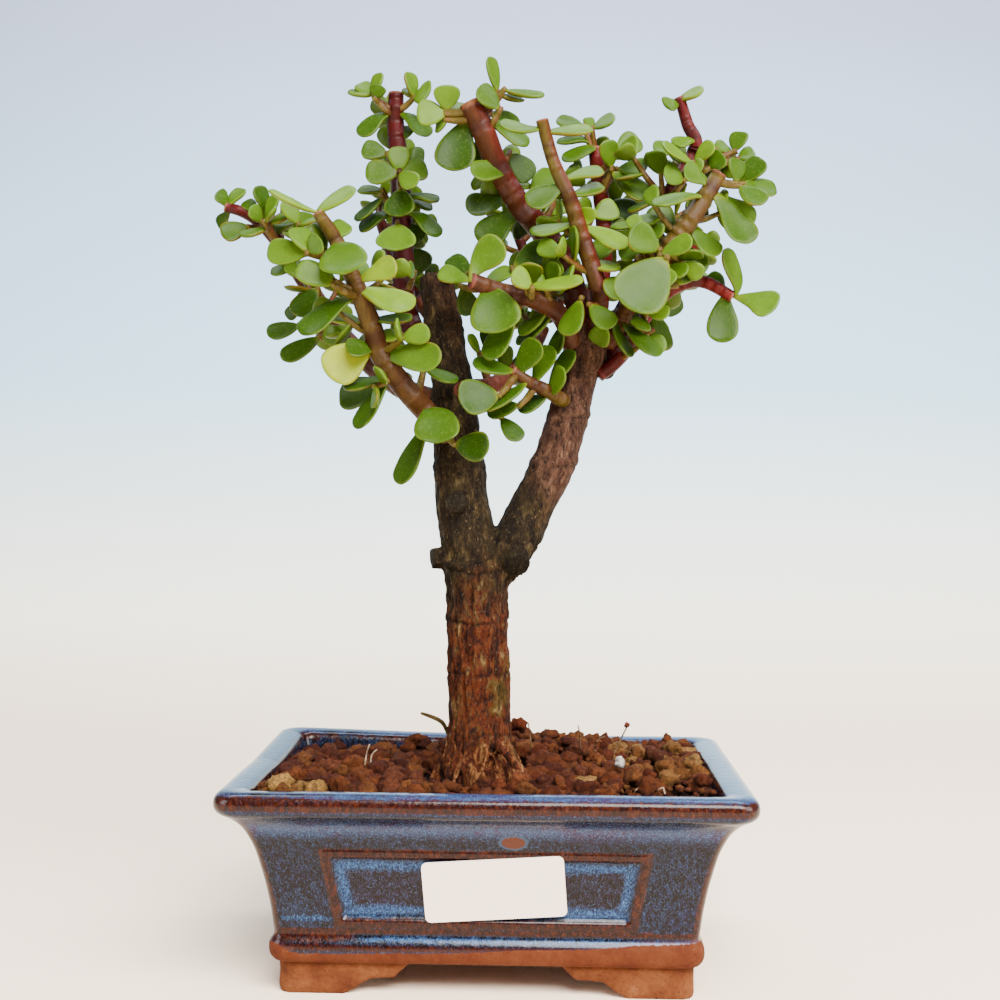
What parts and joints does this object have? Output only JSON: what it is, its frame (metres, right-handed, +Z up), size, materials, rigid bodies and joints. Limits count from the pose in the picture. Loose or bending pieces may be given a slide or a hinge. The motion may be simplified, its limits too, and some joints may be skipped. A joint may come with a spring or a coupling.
{
  "type": "potted dwarf jade bonsai",
  "caption": "Small forked dwarf jade tree with pairs of round fleshy leaves, standing in clay granules in a flared rectangular glazed stoneware tray on four feet.",
  "frame": {"origin": "middle of the pot's footprint, on the surface that its feet stand on", "axes": "+Z up along the trunk, +X along the pot's length to the right of the side with the label, +Y away from that side, towards the back"},
  "size_m": [0.2079, 0.13, 0.327],
  "materials": {
    "glazed_stoneware": "glossy mottled blue and rust glaze, bare terracotta base band and feet",
    "screen_plastic": "matt black mesh",
    "clay_granules": "matt reddish brown baked clay granules",
    "bark": "dull brown bark with rusty flakes, ring scars and olive tints",
    "jade_leaf_and_stem": "soft gloss green leaves with pale rims on maroon to olive stems",
    "label_paper": "matt paper"
  },
  "bodies": {
    "root": {"pot": "glazed_stoneware", "drain_screen_left": "screen_plastic", "drain_screen_right": "screen_plastic", "soil": "clay_granules", "trunk": "bark", "branch_left_low": "jade_leaf_and_stem", "branch_left_front": "jade_leaf_and_stem", "branch_left_upright": "jade_leaf_and_stem", "branch_left_back": "jade_leaf_and_stem", "branch_cross": "jade_leaf_and_stem", "branch_crown_tall": "jade_leaf_and_stem", "branch_crown_front": "jade_leaf_and_stem", "branch_crown_back": "jade_leaf_and_stem", "branch_right_tall": "jade_leaf_and_stem", "branch_right_front": "jade_leaf_and_stem", "branch_right_low": "jade_leaf_and_stem", "branch_middle_front": "jade_leaf_and_stem", "branch_right_back": "jade_leaf_and_stem", "branch_fork": "jade_leaf_and_stem", "branch_back_left": "jade_leaf_and_stem", "branch_back_right": "jade_leaf_and_stem", "label": "label_paper"}
  },
  "joints": []
}
